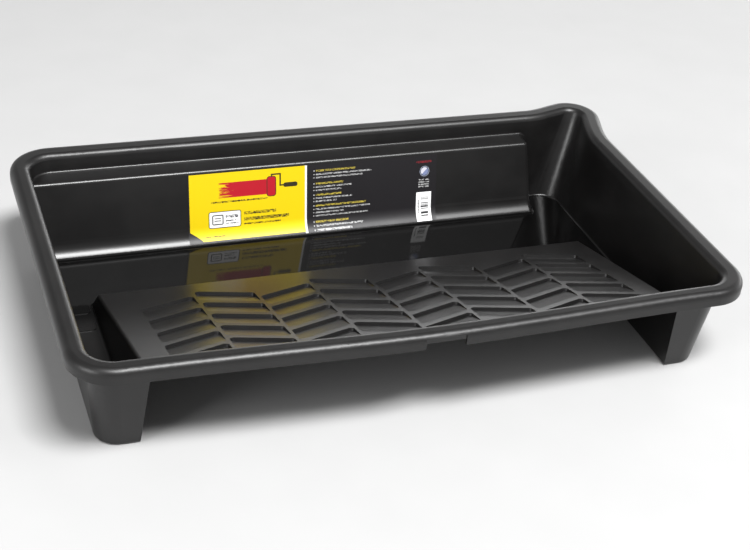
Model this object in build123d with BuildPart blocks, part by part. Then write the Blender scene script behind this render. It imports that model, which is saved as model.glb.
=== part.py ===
from build123d import *
import math
import os

os.makedirs("parts", exist_ok=True)

# Wide paint roller tray, all lengths in millimetres.
# X runs along the width, Y from the shallow front edge to the deep back, Z up.

# Overall pan
height = 95.0
wall = 2.5
left_top = 292.3
right_top = 295.9
half_low = 283.3
front_top = -170.2
front_low = -160.0
back_top = 172.5
back_low = 159.0
front_bow = 7.3
front_radius = (18.0, 23.0)
rear_radius = (18.0, 24.0)

# Pour corner, right rear
spout_start_x = 246.0
spout_start_y = 104.0
spout_tip = (315.6, 187.4)
spout_radius = (22.0, 11.0)

# Rolled rim and its skirt
rim_width = 17.7
rim_widening = 2.6
skirt_depth = 13.5
rim_wall = 2.3
rim_round = 7.0
lip_round = 6.0
notch_width = 37.0
notch_x = 3.0
notch_top = height - 3.5

# Ramp between the two side channels
ramp_half_low = 252.5
ramp_draft = 0.085
ramp_back_y = 28.0
ramp_foot_y = 47.0
ramp_zero = 31.0
ramp_slope = 0.27
ramp_skin = 4.3
ramp_round = 3.0

# Grip pockets pressed into the ramp
pocket_columns = 8
pocket_rows = 5
pocket_pitch_x = 56.0
pocket_pitch_y = 30.8
pocket_start_x = -221.0
pocket_start_y = 7.5
pocket_stagger = 11.5
pocket_length = 53.0
pocket_width = 25.0
pocket_fall = 21.0
pocket_depth = 3.0
pocket_taper = 12
pocket_round = 4.0

# Raised pads on the channel floors
pad_near = 255.5
pad_far = 279.5
pad_height = 0.8
pad_spans = ((29.5, 44.5), (1.0, 21.0))

# Back bolster that carries the label
shelf_z = 76.9
shelf_front_y = 147.6
bolster_foot_y = 131.6
bolster_end_top = 238.0
bolster_end_low = 246.0
cove = 22.5
cove_entry = math.radians(22.0)

# Labels on the face of the bolster
film_left = -138.6
film_right = 131.0
film_length = 73.0
film_gauge = 0.3
header_left = -137.1
header_right = -15.5
header_length = 71.5
label_top_gap = 3.6
label_step = 1.0
film_lift = 0.01
header_cut = (12.0, 8.0)

# Puts the middle of the footprint on the origin, in two steps
origin_x = -9.057
origin_y = -2.69
settle_x = -1.724
settle_y = -1.942

lean = (shelf_front_y - bolster_foot_y) / (shelf_z - wall)
lean_angle = math.atan(lean)
cove_rise = cove * (math.cos(cove_entry) - math.sin(lean_angle))
cove_y = bolster_foot_y + lean * cove_rise - cove * math.cos(lean_angle)
cove_z = wall + cove * math.cos(cove_entry)


def level(z):
    return Plane(origin=(origin_x, origin_y, z))


def across(x):
    return Plane(origin=(origin_x + x, origin_y, 0), x_dir=(0, 1, 0), z_dir=(1, 0, 0))


def along(y):
    return Plane(origin=(origin_x, origin_y + y, 0), x_dir=(1, 0, 0), z_dir=(0, -1, 0))


def blend(low, top, share):
    return low + (top - low) * share


def quarter(cx, cy, sx, sy, r, side_first):
    """Quarter circle round (cx, cy) towards the corner (sx, sy)."""
    q = math.sqrt(0.5)
    side = (cx + sx * r, cy)
    end = (cx, cy + sy * r)
    middle = (cx + sx * r * q, cy + sy * r * q)
    if side_first:
        return ThreePointArc(side, middle, end)
    return ThreePointArc(end, middle, side)


def pan_line(share, grow, widen=0.0):
    """Closed outline of the pan; share 0 is at the ground and 1 at the rim.

    The outline moves out by grow, and at the rear and the right by widen more.
    """
    left = blend(half_low, left_top, share)
    side = blend(half_low, right_top, share)
    back = blend(back_low, back_top, share)
    tip_x = blend(half_low, spout_tip[0], share)
    tip_y = blend(back_low, spout_tip[1], share)
    flare_x = math.atan2(tip_x - side, tip_y - spout_start_y - 12.0)
    flare_y = math.atan2(tip_y - back, tip_x - spout_start_x + 6.0)
    left += grow
    side += grow + widen
    back += grow + widen
    front = blend(front_low, front_top, share) - grow
    r_front = blend(front_radius[0], front_radius[1], share) + grow
    r_rear = blend(rear_radius[0], rear_radius[1], share) + grow
    r_spout = blend(spout_radius[0], spout_radius[1], share)
    run_side = Vector(math.sin(flare_x), math.cos(flare_x))
    run_back = Vector(math.cos(flare_y), math.sin(flare_y))
    bisector = (run_side + run_back).normalized()
    half_angle = (math.pi / 2 - flare_x - flare_y) / 2
    tip = Vector(tip_x, tip_y)
    reach = r_spout / math.tan(half_angle)
    out = grow + widen
    side_end = tip - run_side * reach + Vector(run_side.Y, -run_side.X) * out
    back_end = tip - run_back * reach + Vector(-run_back.Y, run_back.X) * out
    middle = tip - bisector * (r_spout / math.sin(half_angle)) + bisector * (r_spout + out)
    left_foot = (-left + r_front, front)
    right_foot = (side - r_front, front)
    level_ends = ((1, 0), (1, 0))
    return [
        Spline(left_foot, (0, front - front_bow), right_foot, tangents=level_ends),
        quarter(side - r_front, front + r_front, 1, -1, r_front, False),
        Line((side, front + r_front), (side, spout_start_y)),
        Spline((side, spout_start_y), side_end, tangents=((0, 1), run_side)),
        ThreePointArc(side_end, middle, back_end),
        Spline(back_end, (spout_start_x, back), tangents=(run_back * -1, (-1, 0))),
        Line((spout_start_x, back), (-left + r_rear, back)),
        quarter(-left + r_rear, back - r_rear, -1, 1, r_rear, False),
        Line((-left, back - r_rear), (-left, front + r_front)),
        quarter(-left + r_front, front + r_front, -1, -1, r_front, True),
    ]


def ramp_z(y):
    return ramp_zero - ramp_slope * y


def panel_point(down, lift):
    """Point on the bolster face, measured down from the shelf edge, in (y, z)."""
    face = (shelf_z - wall - cove_rise) / math.cos(lean_angle)
    if down <= face:
        y = shelf_front_y - down * math.sin(lean_angle) - lift * math.cos(lean_angle)
        z = shelf_z - down * math.cos(lean_angle) + lift * math.sin(lean_angle)
        return (y, z)
    turn = lean_angle + (down - face) / cove
    y = cove_y + (cove - lift) * math.cos(turn)
    z = cove_z - (cove - lift) * math.sin(turn)
    return (y, z)


def bolster_line(grow):
    """Section of the bolster in the YZ plane, inset by grow."""
    radius = cove + grow
    last = math.asin((cove_z - wall + grow) / radius)
    half = (lean_angle + last) / 2
    turns = (last, half, lean_angle)
    arc = [(cove_y + radius * math.cos(t), cove_z - radius * math.sin(t)) for t in turns]
    shelf = (shelf_front_y - lean * grow + grow / math.cos(lean_angle), shelf_z - grow)
    below = (arc[0][0], -30)
    return [
        ThreePointArc(*arc),
        Polyline(arc[2], shelf, (260, shelf_z - grow), (260, -30), below, arc[0]),
    ]


def pan_volume(grow, skin):
    """Hollow of the pan; grow moves its faces outward, skin lowers the ramp."""
    low_line = pan_line((wall - grow) / height, grow)
    top_line = pan_line(1.0, grow)
    bolster_section = bolster_line(grow)
    with BuildPart() as volume:
        with BuildSketch(level(wall - grow)):
            make_face(low_line)
        with BuildSketch(level(height)):
            make_face(top_line)
        loft(ruled=True)
    with BuildPart() as ramp_long:
        with BuildSketch(across(-400)):
            Polygon(
                (-260, -30),
                (-260, ramp_z(-260) - skin),
                (ramp_back_y - grow * 0.4, ramp_z(ramp_back_y) - skin),
                (ramp_foot_y - grow * 1.4, wall - grow),
                (ramp_foot_y - grow * 1.4, -30),
                align=None,
            )
        extrude(amount=800)
    low = ramp_half_low + ramp_draft * 30 - grow
    high = ramp_half_low - ramp_draft * 130 - grow
    with BuildPart() as ramp_cross:
        with BuildSketch(along(300)):
            Polygon((-low, -30), (low, -30), (high, 130), (-high, 130), align=None)
        extrude(amount=700)
    with BuildPart() as bolster_long:
        with BuildSketch(across(-400)):
            make_face(bolster_section)
        extrude(amount=800)
    slide = (bolster_end_low - bolster_end_top) / shelf_z
    end_low = bolster_end_low + slide * 30 - grow
    end_high = bolster_end_low - slide * 130 - grow
    with BuildPart() as bolster_cross:
        with BuildSketch(along(300)):
            Polygon((-400, -30), (end_low, -30), (end_high, 130), (-400, 130), align=None)
        extrude(amount=700)
    ramp_block = ramp_long.part & ramp_cross.part
    bolster_block = bolster_long.part & bolster_cross.part
    return volume.part - ramp_block - bolster_block


def pick(shape, test):
    """Edges whose centre (x, y, z) and length pass the test."""
    chosen = []
    for edge in shape.edges():
        c = edge.center()
        if test(c.X - origin_x, c.Y - origin_y, c.Z, edge.length):
            chosen.append(edge)
    return chosen


def is_ramp_crest(x, y, z, length):
    side = abs(abs(x) - 248.4) < 2 and abs(y + 70) < 6 and 45 < z < 55
    crease = abs(y - ramp_back_y) < 1.5 and 20 < z < 26 and length > 300
    slant = abs(abs(x) - 251) < 3 and abs(y - 37.5) < 3 and 8 < z < 18
    return side or crease or slant


def is_leg_corner(x, y, z, length):
    return abs(abs(x) - 250) < 3 and abs(y + 164) < 5 and 30 < z < 50


def is_bolster_corner(x, y, z, length):
    return abs(x - 242) < 5 and abs(y - 140) < 6 and 30 < z < 60


def is_bolster_back(x, y, z, length):
    return abs(x - 242) < 5 and abs(y - 165) < 5 and 30 < z < 60


def is_shelf_front(x, y, z, length):
    return abs(z - shelf_z) < 0.5 and (y < 149 or (x > 232 and y < 167.5))


def is_shelf_back(x, y, z, length):
    return abs(z - shelf_z) < 0.5 and y > 149.5


def is_floor_edge(x, y, z, length):
    return abs(z - wall) < 0.3


def is_ground_edge(x, y, z, length):
    return z < 0.2


# Paint side of the pan, with its moulded radii
inside = pan_volume(0.0, 0.0)
inside = fillet(pick(inside, is_ramp_crest), ramp_round)
inside = fillet(pick(inside, is_leg_corner), 4.0)
inside = fillet(pick(inside, is_bolster_corner), 5.0)
inside = fillet(pick(inside, is_bolster_back), 6.0)
inside = fillet(pick(inside, is_floor_edge), 2.5)
inside = fillet(pick(inside, is_shelf_front), 4.0)
inside = fillet(pick(inside, is_shelf_back), 2.0)

# Outer side of the pan, which also stands on the ground
outside = pan_volume(wall, ramp_skin)
outside = fillet(pick(outside, is_ground_edge), 2.5)

# Rolled rim: a closed band hollowed from below
rim_line = pan_line(1.0, rim_width, rim_widening)
hollow_line = pan_line(1.0, rim_width - rim_wall, rim_widening)
with BuildPart() as rim_band:
    with BuildSketch(level(height - skirt_depth)):
        make_face(rim_line)
    extrude(amount=skirt_depth)
rim_solid = fillet(
    pick(rim_band.part, lambda x, y, z, length: z > height - 0.1),
    rim_round,
)
with BuildPart() as rim_hollow:
    with BuildSketch(level(height - skirt_depth - 5)):
        make_face(hollow_line)
    extrude(amount=skirt_depth + 5 - rim_wall)
hollow_solid = fillet(
    pick(rim_hollow.part, lambda x, y, z, length: z > height - rim_wall - 0.1),
    rim_round - rim_wall,
)


def is_under_lip(x, y, z, length):
    inner = abs(x) < 302 and -182 < y < 184
    return abs(z - height + rim_wall) < 0.05 and inner


def is_lip(x, y, z, length):
    return abs(z - height) < 0.05 and abs(x) < 311 and -178.5 < y < 182.5


shell = rim_solid - hollow_solid + outside
shell = fillet(pick(shell, is_under_lip), lip_round - rim_wall)
body = shell - inside
body = fillet(pick(body, is_lip), lip_round)
body = Pos(settle_x, settle_y, 0) * body
origin_x += settle_x
origin_y += settle_y

# Finger notch in the front skirt
notch_front = front_top - front_bow - rim_width
with BuildPart() as notch:
    with BuildSketch(along(notch_front + 12)):
        with Locations((notch_x, notch_top - 15)):
            Rectangle(notch_width, 30)
    extrude(amount=20)

# Raised pads on the floors of both side channels
pads = []
for side in (-1, 1):
    for low_y, high_y in pad_spans:
        with BuildPart() as pad:
            with BuildSketch(level(wall - 0.5)):
                with Locations((side * (pad_near + pad_far) / 2, (low_y + high_y) / 2)):
                    RectangleRounded(pad_far - pad_near, high_y - low_y, 4.5)
            extrude(amount=pad_height + 0.5, taper=20)
        pads.append(pad.part)

# Grip pockets in a herringbone, pressed into the ramp face
tilt = math.atan(ramp_slope)
ramp_normal = Vector(0, math.sin(tilt), math.cos(tilt))
ramp_face = Plane(
    origin=Vector(origin_x, origin_y, ramp_zero) + ramp_normal * 0.5,
    x_dir=(1, 0, 0),
    z_dir=ramp_normal,
)
pockets = []
for column in range(pocket_columns):
    x0 = pocket_start_x + column * pocket_pitch_x
    x1 = x0 + pocket_length
    falling = column % 2 == 1
    drop = -pocket_fall if falling else pocket_fall
    run = Vector(pocket_length, drop / math.cos(tilt)).normalized()
    across_run = Vector(run.Y, -run.X)
    for row in range(pocket_rows):
        y0 = pocket_start_y - row * pocket_pitch_y
        if not falling:
            y0 -= pocket_stagger
        y1 = y0 - pocket_fall
        left, right = (y0, y1) if falling else (y1, y0)
        corners = []
        for x, y in ((x0, left), (x1, right), (x1, right - pocket_width), (x0, left - pocket_width)):
            corners.append((x, y / math.cos(tilt)))
        far = Vector(*corners[0])
        reach = (Vector(*corners[3]) - far).dot(across_run)
        start = ramp_face.from_local_coords(far - run * 30)
        run_way = ramp_face.from_local_coords(far) - start
        wedge_plane = Plane(
            origin=start,
            x_dir=ramp_face.from_local_coords(far + across_run) - ramp_face.from_local_coords(far),
            z_dir=run_way,
        )
        side = 1 if wedge_plane.y_dir.Z > 0 else -1
        with BuildPart() as pocket:
            with BuildSketch(ramp_face) as outline:
                Polygon(*corners, align=None)
                fillet(outline.vertices(), pocket_round)
            extrude(amount=-(pocket_depth + 0.5), taper=pocket_taper)
            with BuildSketch(wedge_plane):
                Polygon(
                    (-4, side),
                    (-4, -side * (0.5 + pocket_depth * (1 + 4 / reach))),
                    (reach, -side * 0.5),
                    (reach + 8, side * (pocket_depth * 8 / reach - 0.5)),
                    (reach + 8, side),
                    align=None,
                )
            extrude(amount=pocket_length + 60, mode=Mode.INTERSECT)
        pockets.append(pocket.part)

with BuildPart() as tray_body:
    add(body)
    add(notch.part, mode=Mode.SUBTRACT)
    for pad in pads:
        add(pad)
    for pocket_part in pockets:
        add(pocket_part, mode=Mode.SUBTRACT)
tray_body.part.label = "tray_body"
export_step(tray_body.part, "parts/tray_body.step")


def film_section(length, near, far):
    """Closed section of a film that follows the bolster face, in (y, z)."""
    face = (shelf_z - wall - cove_rise) / math.cos(lean_angle)
    path = [label_top_gap]
    down = face
    while down < length + label_top_gap:
        path.append(down)
        down += label_step
    path.append(length + label_top_gap)
    front = [panel_point(down, far) for down in path]
    rear = [panel_point(down, near) for down in reversed(path)]
    return front + rear + [front[0]]


film_line = film_section(film_length, 0.0, film_gauge)
with BuildPart() as label_film:
    with BuildSketch(across(film_left)):
        with BuildLine():
            Polyline(*film_line)
        make_face()
    extrude(amount=film_right - film_left)
label_film.part.label = "label_film"
export_step(label_film.part, "parts/label_film.step")

header_line = film_section(header_length, film_gauge + film_lift, 2 * film_gauge)
with BuildPart() as label_header:
    with BuildSketch(across(header_left)):
        with BuildLine():
            Polyline(*header_line)
        make_face()
    extrude(amount=header_right - header_left)
    with BuildSketch(along(bolster_foot_y - 30)):
        with BuildLine():
            Polyline(
                (header_left - 1, 0),
                (header_left + header_cut[0], 0),
                (header_left + header_cut[0], 7),
                (header_left - 1, 7 + header_cut[1]),
                (header_left - 1, 0),
            )
        make_face()
    extrude(amount=-60, mode=Mode.SUBTRACT)
label_header.part.label = "label_header"
export_step(label_header.part, "parts/label_header.step")
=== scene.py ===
import math

import bpy
from mathutils import Matrix, Vector


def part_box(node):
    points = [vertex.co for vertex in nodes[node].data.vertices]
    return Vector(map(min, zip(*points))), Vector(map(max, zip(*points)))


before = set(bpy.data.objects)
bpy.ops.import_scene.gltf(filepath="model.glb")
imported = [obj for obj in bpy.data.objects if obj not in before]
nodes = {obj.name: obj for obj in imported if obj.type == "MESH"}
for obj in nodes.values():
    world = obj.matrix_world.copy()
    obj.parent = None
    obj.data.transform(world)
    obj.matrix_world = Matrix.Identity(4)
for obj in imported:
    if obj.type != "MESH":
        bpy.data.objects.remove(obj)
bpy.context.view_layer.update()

# Lengths are in metres, except print on the label, which is laid out in millimetres.

tray = nodes["tray_body"]
film = nodes["label_film"]
header = nodes["label_header"]
film_low, film_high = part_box("label_film")
tray_low, tray_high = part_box("tray_body")

# Origin of the pan's own measures in x and y, on the ramp's centre line. The pour corner and the
# wider right side put it off the middle of the tray's box.
pan_origin = (-0.010781, -0.004632)

# Soft edges of the plastic's areas, each from where its look is absent to where it is full.
# Those named facing are shares of the surface normal that point up.
floor_facing = (0.80, 0.90)
floor_height = (0.0065, 0.0045)
floor_front = (-0.005, 0.025)
ramp_facing = (0.30, 0.42)
ramp_sides = (0.2540, 0.2515)
ramp_rear = (0.0255, 0.0225)
ramp_foot = (0.0045, 0.0065)
ramp_top = (0.0865, 0.0845)
step_facing_from = (0.15, 0.19)
step_facing_to = (0.36, 0.26)
step_front = (0.105, 0.115)
rim_height = (0.0790, 0.0870)

# Roughness of the plastic, and what each area or mark changes it by
satin = 0.255
blotch_rough = 0.06
streak_rough = 0.04
floor_polish = 0.235
ramp_rough = 0.015
ramp_grain_rough = 0.08
rim_rough = 0.09
step_rough = 0.16
scratch_rough = 0.05

# Shine of the plastic, and what the floor takes from it
shine = 0.5
floor_dulling = 0.32

# Relief of the plastic: shares of the fine texture and of the uneven skin, in and off the areas
fine_relief = 0.30
ramp_relief = 1.3
floor_smoothing = 0.9
coarse_relief = 0.12
scratch_relief = -0.15
scratch_cut_along = (0.66, 0.72)
scratch_cut_across = (0.67, 0.73)

# Colours of the plastic, and how far the scratches take on theirs. The well floor gets painted
# shade: a darker base colour that stands in for the dark it reflects.
blotch_cut = (0.35, 0.7)
well_floor_shade_share = 0.8
scratch_tint = 0.10
black_dark = (0.0050, 0.0047, 0.0047, 1)
black_light = (0.0074, 0.0070, 0.0069, 1)
well_floor_painted_shade = (0.0006, 0.0006, 0.0006, 1)
scratch_grey = (0.035, 0.033, 0.032, 1)

# Roughness of the printed film, what its marks add, and how far a smear darkens it
film_satin = 0.42
smear_rough = 0.10
film_grain_rough = 0.05
smear_shade = 0.05

# Print: how millimetres on the film follow from metres, and the cells of its broken marks
mm_right = 1000.0
mm_down_face = 1022.8
film_top_offset = 2.9
cells_right = 1.35
cells_down = 1.9
mark_gap = 0.30
word_spacing = (0.21, 0.77, 0.0)
word_gap = 0.66

# Ground plane, and how far out it starts and ends turning pale: painted light that stands in for
# even light where the lamps fall off
floor_gap = 0.0002
floor_half = 15
floor_painted_light_fade = (0.8, 3.0)
floor_near_dark = (0.42, 0.42, 0.42, 1)
floor_near_light = (0.45, 0.45, 0.45, 1)
floor_far_painted_light = (0.92, 0.92, 0.92, 1)

# World glow: at the horizon and overhead, and a patch low down behind the tray on the right.
# Heights are the sine of the angle above the horizon.
glow_horizon = 0.9
glow_overhead = 0.26
glow_patch = 4.8
patch_way = (0.74, 0.67, 0.0)
patch_spread = (0.66, 0.95)
patch_height = (0.10, 0.38)
glow_height = (0.05, 0.55)

# Camera: lens in millimetres, angles in degrees, and how it stands off from the pan's origin
camera_lens = 69.74
camera_sensor = 36.0
camera_shift = (-0.0030, 0.0019)
camera_azimuth = -23.041
camera_elevation = 32.453
camera_roll = 6.285
camera_distance = 1.41991
camera_aside = 0.01736
camera_rise = 0.02458


class Graph:
    """Builds the nodes of a material or of the world."""

    def __init__(self, owner):
        self.owner = owner
        owner.use_nodes = True
        self.tree = owner.node_tree
        self.tree.nodes.clear()

    def node(self, kind, inputs=(), **settings):
        made = self.tree.nodes.new(kind)
        for key, value in settings.items():
            setattr(made, key, value)
        for socket, value in dict(inputs).items():
            self.feed(made.inputs[socket], value)
        return made

    def feed(self, socket, value):
        if isinstance(value, bpy.types.NodeSocket):
            self.tree.links.new(value, socket)
        else:
            socket.default_value = value

    def math(self, operation, *values, clamp=False):
        made = self.node("ShaderNodeMath", enumerate(values), operation=operation, use_clamp=clamp)
        return made.outputs[0]

    def chain(self, operation, values):
        total = values[0]
        for value in values[1:]:
            total = self.math(operation, total, value)
        return total

    def sum(self, *values):
        return self.chain("ADD", values)

    def product(self, *values):
        return self.chain("MULTIPLY", values)

    def most(self, *values):
        return self.chain("MAXIMUM", values)

    def less(self, value, taken):
        return self.math("SUBTRACT", value, taken)

    def above(self, value, limit):
        """One where value is greater than limit, else zero."""
        return self.math("GREATER_THAN", value, limit)

    def scale(self, place, factors):
        made = self.node("ShaderNodeVectorMath", {0: place, 1: factors}, operation="MULTIPLY")
        return made.outputs[0]

    def band(self, value, low, high):
        """One where value lies between low and high, else zero."""
        return self.math("COMPARE", value, (low + high) / 2, (high - low) / 2)

    def ramp(self, value, start, end, low=0.0, high=1.0):
        """Smooth change from low to high as value goes from start to end."""
        made = self.node(
            "ShaderNodeMapRange",
            {0: value, 1: start, 2: end, 3: low, 4: high},
            interpolation_type="SMOOTHSTEP",
        )
        return made.outputs[0]

    def split(self, vector):
        return self.node("ShaderNodeSeparateXYZ", {0: vector}).outputs

    def join(self, x, y):
        return self.node("ShaderNodeCombineXYZ", {0: x, 1: y}).outputs[0]

    def coordinates(self, kind):
        return self.node("ShaderNodeTexCoord").outputs[kind]

    def noise(self, place, scale, detail=2.0, roughness=0.5, stretch=None):
        if stretch:
            place = self.scale(place, stretch)
        made = self.node(
            "ShaderNodeTexNoise",
            {"Vector": place, "Scale": scale, "Detail": detail, "Roughness": roughness},
        )
        return made.outputs["Fac"]

    def mix(self, share, first, second):
        """A colour between first and second."""
        made = self.node("ShaderNodeMix", data_type="RGBA")
        self.feed(made.inputs[0], share)
        self.feed(made.inputs[6], first)
        self.feed(made.inputs[7], second)
        return made.outputs[2]

    def bump(self, height, distance, strength, normal=None):
        inputs = {"Height": height, "Distance": distance, "Strength": strength}
        if normal:
            inputs["Normal"] = normal
        return self.node("ShaderNodeBump", inputs).outputs[0]

    def finish(self, **inputs):
        """Wires a principled shader to the output and returns the material."""
        shader = self.node("ShaderNodeBsdfPrincipled")
        output = self.node("ShaderNodeOutputMaterial")
        for name, value in inputs.items():
            self.feed(shader.inputs[name.replace("_", " ")], value)
        self.feed(output.inputs[0], shader.outputs[0])
        return self.owner


def material_graph(name):
    return Graph(bpy.data.materials.new(name))


def rgb(red, green, blue):
    """A colour from 0 to 255 values, as linear light."""
    def linear(part):
        part /= 255
        if part < 0.04045:
            return part / 12.92
        return ((part + 0.055) / 1.055) ** 2.4
    return (linear(red), linear(green), linear(blue), 1.0)


def moulded_plastic():
    """Black polypropylene: satin rim and walls, polished well floor, finely textured ramp."""
    g = material_graph("black_moulded_plastic")
    place = g.coordinates("Object")
    x, y, z = g.split(place)
    up = g.split(g.node("ShaderNodeNewGeometry").outputs["True Normal"])[2]
    centre = (tray_low.x + tray_high.x) / 2 + pan_origin[0]
    offset = g.math("ABSOLUTE", g.less(x, centre))

    # Areas: well floor, ramp, face of the step behind, rim
    floor = g.product(g.ramp(up, *floor_facing), g.ramp(z, *floor_height), g.ramp(y, *floor_front))
    ramp = g.product(
        g.ramp(up, *ramp_facing), g.ramp(offset, *ramp_sides),
        g.ramp(y, *ramp_rear), g.ramp(z, *ramp_foot), g.ramp(z, *ramp_top),
    )
    step = g.product(
        g.ramp(up, *step_facing_from), g.ramp(up, *step_facing_to), g.ramp(y, *step_front),
    )
    rim = g.ramp(z, *rim_height)

    # Mould texture, blotches and scratches
    grain = g.noise(place, scale=1500.0, detail=3.0, roughness=0.6)
    coarse = g.noise(place, scale=420.0)
    blotch = g.noise(place, scale=26.0, detail=4.0, roughness=0.55)
    streak = g.noise(place, scale=60.0, detail=3.0, roughness=0.6, stretch=(0.12, 1.0, 2.2))
    wave = g.noise(place, scale=11.0)
    along = g.noise(place, scale=240.0, detail=4.0, roughness=0.7, stretch=(0.05, 1.0, 1.0))
    across = g.noise(place, scale=260.0, detail=4.0, roughness=0.7, stretch=(1.0, 0.06, 0.5))
    scratches = g.most(g.ramp(along, *scratch_cut_along), g.ramp(across, *scratch_cut_across))

    rough = g.sum(satin, g.product(blotch, blotch_rough), g.product(streak, streak_rough))
    rough = g.less(rough, g.product(floor, floor_polish))
    ramp_texture = g.sum(ramp_rough, g.product(grain, ramp_grain_rough))
    rough = g.sum(
        rough, g.product(ramp, ramp_texture), g.product(rim, rim_rough), g.product(step, step_rough),
    )
    rough = g.math("ADD", rough, g.product(scratches, scratch_rough), clamp=True)

    tone = g.mix(g.ramp(blotch, *blotch_cut), black_dark, black_light)
    # Painted shade: the well floor is made darker than the rest of the plastic
    tone = g.mix(g.product(floor, well_floor_shade_share), tone, well_floor_painted_shade)
    tone = g.mix(g.product(scratches, scratch_tint), tone, scratch_grey)

    fine = g.product(grain, g.sum(fine_relief, g.product(ramp, ramp_relief)))
    fine = g.product(fine, g.less(1.0, g.product(floor, floor_smoothing)))
    uneven = g.sum(g.product(coarse, coarse_relief), g.product(scratches, scratch_relief))
    normal = g.bump(fine, distance=0.00003, strength=0.6)
    normal = g.bump(uneven, distance=0.00002, strength=0.5, normal=normal)
    normal = g.bump(wave, distance=0.0002, strength=0.2, normal=normal)
    return g.finish(
        Base_Color=tone, Roughness=rough, Normal=normal, IOR=1.5,
        Specular_IOR_Level=g.less(shine, g.product(floor, floor_dulling)),
    )


class Print:
    """Lays out print on a label in millimetres right of and down from the film's top left corner."""

    def __init__(self, graph):
        self.g = graph
        self.place = graph.coordinates("Object")
        x, _, z = graph.split(self.place)
        self.u = graph.product(graph.less(x, film_low.x), mm_right)
        self.v = graph.sum(graph.product(graph.less(film_high.z, z), mm_down_face), film_top_offset)
        cell = graph.join(
            graph.math("FLOOR", graph.product(self.u, cells_right)),
            graph.math("FLOOR", graph.product(self.v, cells_down)),
        )
        speck = graph.node("ShaderNodeTexWhiteNoise", {0: cell}, noise_dimensions="3D")
        word = graph.noise(graph.scale(cell, word_spacing), scale=1.0, detail=0.0)
        self.speckle = graph.above(speck.outputs[0], mark_gap)
        self.words = graph.math("LESS_THAN", word, word_gap)

    def box(self, left, top, right, bottom):
        g = self.g
        return g.product(g.band(self.u, left, right), g.band(self.v, top, bottom))

    def rounded(self, left, top, right, bottom, radius):
        """Distance inside a rounded box, negative outside it."""
        g = self.g

        def overhang(value, low, high):
            """How far value is past the straight part of a side, on either side."""
            away = g.math("ABSOLUTE", g.less(value, (low + high) / 2))
            return g.most(g.less(away, (high - low) / 2 - radius), 0.0)

        du = overhang(self.u, left, right)
        dv = overhang(self.v, top, bottom)
        reach = g.math("SQRT", g.sum(g.product(du, du), g.product(dv, dv)))
        return g.less(radius, reach)

    def solid(self, *edges, grow=0.0):
        return self.g.above(self.rounded(*edges), -grow)

    def line(self, left, middle, right, height):
        """A run of broken marks that stands for a line of small print."""
        marks = self.box(left, middle - height / 2, right, middle + height / 2)
        return self.g.product(marks, self.speckle, self.words)

    def dot(self, left, middle, size):
        return self.box(left, middle - size / 2, left + size, middle + size / 2)


def printed(g, colour, place):
    """Printed film: satin, with a faint grain and a slight ripple."""
    grain = g.noise(place, scale=900.0)
    ripple = g.noise(place, scale=16.0)
    smear = g.noise(place, scale=45.0, detail=3.0, roughness=0.6, stretch=(1.0, 1.0, 0.25))
    rough = g.sum(film_satin, g.product(smear, smear_rough), g.product(grain, film_grain_rough))
    normal = g.bump(grain, distance=0.00001, strength=0.3)
    normal = g.bump(ripple, distance=0.0003, strength=0.25, normal=normal)
    shade = g.mix(g.product(smear, smear_shade), colour, (0.0, 0.0, 0.0, 1.0))
    return g.finish(
        Base_Color=shade, Roughness=rough, Normal=normal, IOR=1.48,
        Coat_Weight=0.08, Coat_Roughness=0.3,
    )


def black_film():
    """Dark film with five blocks of marks, and a ring and a bar panel at its right hand end."""
    g = material_graph("printed_black_film")
    p = Print(g)
    heads = []
    rows = []
    dots = []
    # Each block: its heading down the film and its right end, then the same for the rows below
    block_left = 132.5
    blocks = (
        ((9.6, 178.0), ((13.4, 196.0), (16.9, 186.0))),
        ((23.4, 165.0), ((27.0, 174.0), (30.6, 163.0))),
        ((35.6, 163.0), ((39.2, 175.0), (42.6, 158.0))),
        ((47.4, 190.0), ((51.2, 195.0), (54.8, 166.0), (58.4, 193.0))),
        ((64.6, 171.0), ((68.2, 187.0), (71.6, 174.0))),
    )
    for (down, right), lines in blocks:
        heads.append(p.line(block_left + 2.5, down, right, 2.0))
        dots.append(p.box(block_left, down - 0.6, block_left + 1.1, down + 0.6))
        for row, end in lines:
            rows.append(p.line(block_left + 2.5, row, end, 1.6))
            dots.append(p.dot(block_left, row, 1.0))
    # Column at the right hand end: rule, ring, small print and bar panel
    rule = p.box(246.5, 8.8, 263.5, 11.0)
    ring = p.rounded(250.6, 14.8, 261.4, 26.0, 5.3)
    halo = g.band(ring, 0.0, 0.6)
    dial = g.above(ring, 1.3)
    half = g.product(dial, g.above(g.sum(p.u, p.v), 276.4))
    for row in (29.6, 32.2, 34.8, 37.2):
        rows.append(p.line(249.5, row, 261.5, 1.4))
    panel = p.box(247.3, 43.4, 264.4, 73.5)
    stripe = g.node(
        "ShaderNodeTexWhiteNoise",
        {"W": g.math("FLOOR", g.product(p.v, 2.3))},
        noise_dimensions="1D",
    ).outputs[0]
    bars = g.product(p.box(252.8, 47.5, 261.3, 70.0), g.above(stripe, 0.46))
    tick = g.above(g.math("FRACT", g.product(p.v, 0.62)), 0.4)
    digits = g.product(p.box(249.4, 52.5, 250.9, 66.0), tick)

    colour = g.mix(p.box(122.6, -1.0, 125.3, 80.0), rgb(24, 22, 25), rgb(235, 235, 235))
    colour = g.mix(g.most(*rows), colour, rgb(172, 172, 172))
    colour = g.mix(g.most(*heads), colour, rgb(172, 155, 62))
    colour = g.mix(g.most(*dots), colour, rgb(185, 185, 185))
    colour = g.mix(g.product(rule, p.speckle), colour, rgb(115, 26, 34))
    colour = g.mix(halo, colour, rgb(150, 158, 175))
    colour = g.mix(dial, colour, rgb(205, 205, 215))
    colour = g.mix(half, colour, rgb(120, 130, 165))
    colour = g.mix(panel, colour, rgb(245, 245, 245))
    colour = g.mix(g.most(bars, digits), colour, rgb(30, 30, 32))
    return printed(g, colour, p.place)


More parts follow.
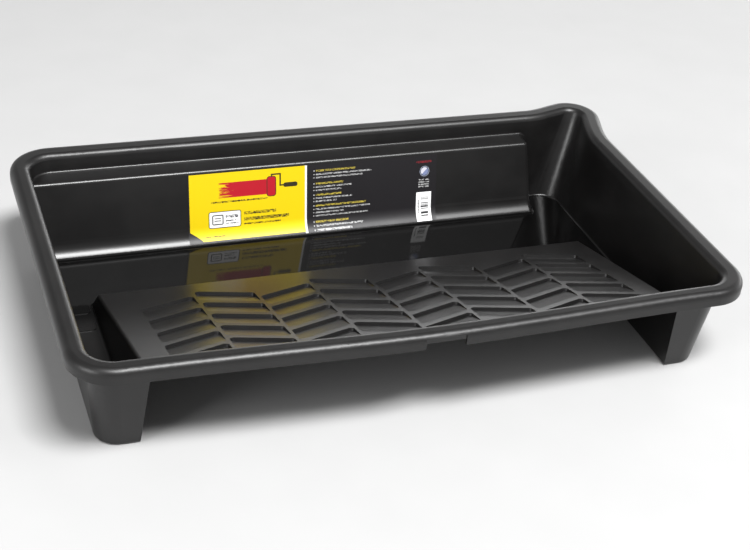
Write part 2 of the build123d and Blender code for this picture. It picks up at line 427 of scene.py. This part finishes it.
def yellow_header():
    """Yellow header with a roller pictogram, a boxed tray pictogram and lines of broken marks."""
    g = material_graph("printed_yellow_header")
    p = Print(g)
    yellow = (0.76, 0.56, 0.0, 1.0)
    dark = rgb(45, 40, 20)
    red = rgb(176, 18, 36)
    # A roller that draws a stroke of paint, with bristle marks and a ragged tail
    bristle = g.noise(g.join(g.product(p.u, 0.05), p.v), scale=0.9, roughness=0.6)
    tail = g.sum(26.0, g.product(bristle, 12.0))
    wear = g.sum(bristle, g.ramp(p.u, 30.0, 70.0, 0.0, 0.3))
    stroke = g.product(
        p.solid(22.0, 13.5, 84.0, 29.5, 1.5), g.above(p.u, tail), g.above(wear, 0.46),
    )
    sleeve_edges = (83.0, 11.5, 91.5, 31.5, 2.2)
    sleeve = p.solid(*sleeve_edges)
    outline = p.solid(*sleeve_edges, grow=0.8)
    arm = g.most(
        p.box(86.6, 9.4, 88.2, 12.0),
        p.box(86.6, 8.2, 97.4, 9.8),
        p.box(95.8, 8.2, 97.4, 21.6),
        p.box(95.8, 20.4, 101.0, 22.0),
    )
    grip = p.solid(100.0, 18.8, 115.0, 23.6, 2.0)
    # Small print, and a panel with a tray pictogram
    panel = p.rounded(20.9, 43.4, 55.0, 61.3, 2.4)
    edge = g.above(panel, 0.0)
    inside = g.above(panel, 0.8)
    icon = g.most(
        g.band(p.rounded(24.6, 47.0, 36.4, 57.8, 1.6), 0.0, 1.1),
        p.box(27.0, 50.4, 34.0, 51.3),
        p.box(27.0, 53.0, 34.0, 53.9),
    )
    panel_rows = g.most(
        p.line(38.8, 49.6, 52.0, 3.0),
        p.line(38.8, 54.0, 50.0, 1.6),
        p.line(38.8, 57.0, 52.0, 1.2),
    )
    rows = g.most(
        p.line(23.8, 33.7, 83.0, 1.8),
        p.line(58.0, 47.6, 92.0, 3.2),
        p.line(58.0, 54.0, 106.0, 3.4),
        p.line(58.0, 59.2, 97.0, 1.8),
        p.line(16.5, 68.6, 38.0, 0.7),
    )
    colour = g.mix(stroke, yellow, red)
    colour = g.mix(g.most(outline, arm, grip), colour, dark)
    colour = g.mix(sleeve, colour, red)
    colour = g.mix(rows, colour, dark)
    colour = g.mix(edge, colour, dark)
    colour = g.mix(inside, colour, rgb(245, 245, 245))
    colour = g.mix(g.product(inside, g.most(icon, panel_rows)), colour, rgb(40, 40, 45))
    return printed(g, colour, p.place)


def pale_floor():
    """Grey near the tray, and paler further out: painted light that keeps the far floor bright where
    the lamps fall off.
    """
    g = material_graph("pale_floor")
    place = g.coordinates("Object")
    speck = g.noise(place, scale=14.0, detail=4.0)
    reach = g.node("ShaderNodeVectorMath", {0: place}, operation="LENGTH").outputs["Value"]
    tone = g.mix(speck, floor_near_dark, floor_near_light)
    # Painted light: the floor turns paler further out
    tone = g.mix(g.ramp(reach, *floor_painted_light_fade), tone, floor_far_painted_light)
    return g.finish(Base_Color=tone, Roughness=0.6)


def dress(obj, material):
    obj.data.materials.clear()
    obj.data.materials.append(material)
    for face in obj.data.polygons:
        face.use_smooth = True


def link(name, data):
    made = bpy.data.objects.new(name, data)
    bpy.context.scene.collection.objects.link(made)
    return made


def lay_floor():
    ground = bpy.data.meshes.new("floor")
    corners = [
        (-floor_half, -floor_half, 0), (floor_half, -floor_half, 0),
        (floor_half, floor_half, 0), (-floor_half, floor_half, 0),
    ]
    ground.from_pydata(corners, [], [(0, 1, 2, 3)])
    floor = link("floor", ground)
    floor.location.z = tray_low.z - floor_gap
    floor.data.materials.append(pale_floor())
    return floor


def light_world():
    """A bright horizon that falls off upwards, and a brighter patch on one side of it."""
    world = bpy.data.worlds.new("studio")
    bpy.context.scene.world = world
    g = Graph(world)
    sky = g.coordinates("Generated")
    height = g.split(sky)[2]
    side = g.node("ShaderNodeVectorMath", {0: sky, 1: patch_way}, operation="DOT_PRODUCT")
    patch = g.product(
        g.ramp(side.outputs["Value"], *patch_spread, 0.0, glow_patch),
        g.ramp(height, *patch_height, 1.0, 0.0),
    )
    glow = g.sum(g.ramp(height, *glow_height, glow_horizon, glow_overhead), patch)
    back = g.node("ShaderNodeBackground", {"Strength": glow})
    g.node("ShaderNodeOutputWorld", {0: back.outputs[0]})


def soft_box(name, direction, distance, width, height, power):
    """An area light that faces the middle of the tray."""
    data = bpy.data.lights.new(name, "AREA")
    data.shape = "RECTANGLE"
    data.size = width
    data.size_y = height
    data.energy = power
    light = link(name, data)
    way = Vector(direction).normalized()
    aim = Vector((0.0, 0.0, 0.05))
    light.location = aim + way * distance
    light.rotation_euler = way.to_track_quat("Z", "Y").to_euler()


def place_camera():
    view = bpy.data.cameras.new("camera")
    view.sensor_width = camera_sensor
    view.lens = camera_lens
    view.shift_x, view.shift_y = camera_shift
    view.clip_start = 0.01
    view.clip_end = 60.0
    azimuth = math.radians(camera_azimuth)
    elevation = math.radians(camera_elevation)
    roll = math.radians(camera_roll)
    backward = Vector((
        math.sin(azimuth) * math.cos(elevation),
        -math.cos(azimuth) * math.cos(elevation),
        math.sin(elevation),
    ))
    level_right = Vector((math.cos(azimuth), math.sin(azimuth), 0.0))
    level_up = backward.cross(level_right)
    right = level_right * math.cos(roll) + level_up * math.sin(roll)
    up = level_up * math.cos(roll) - level_right * math.sin(roll)
    axes = Matrix((right, up, backward)).transposed().to_4x4()
    spot = Vector((*pan_origin, 0.0))
    spot += backward * camera_distance + right * camera_aside + up * camera_rise
    camera = link("camera", view)
    camera.matrix_world = Matrix.Translation(spot) @ axes
    return camera


dress(tray, moulded_plastic())
dress(film, black_film())
dress(header, yellow_header())

floor = lay_floor()

light_world()
soft_box(
    "key_box", direction=(0.11, -0.38, 0.92), distance=4.0, width=1.7, height=1.05, power=275.0,
)
soft_box(
    "fill_box", direction=(0.52, -0.34, 0.80), distance=2.6, width=1.0, height=0.8, power=16.0,
)
soft_box(
    "left_box", direction=(-0.79, -0.34, 0.40), distance=2.2, width=0.9, height=1.0, power=20.0,
)
bpy.context.scene.camera = place_camera()
bpy.context.scene.view_settings.view_transform = "Standard"
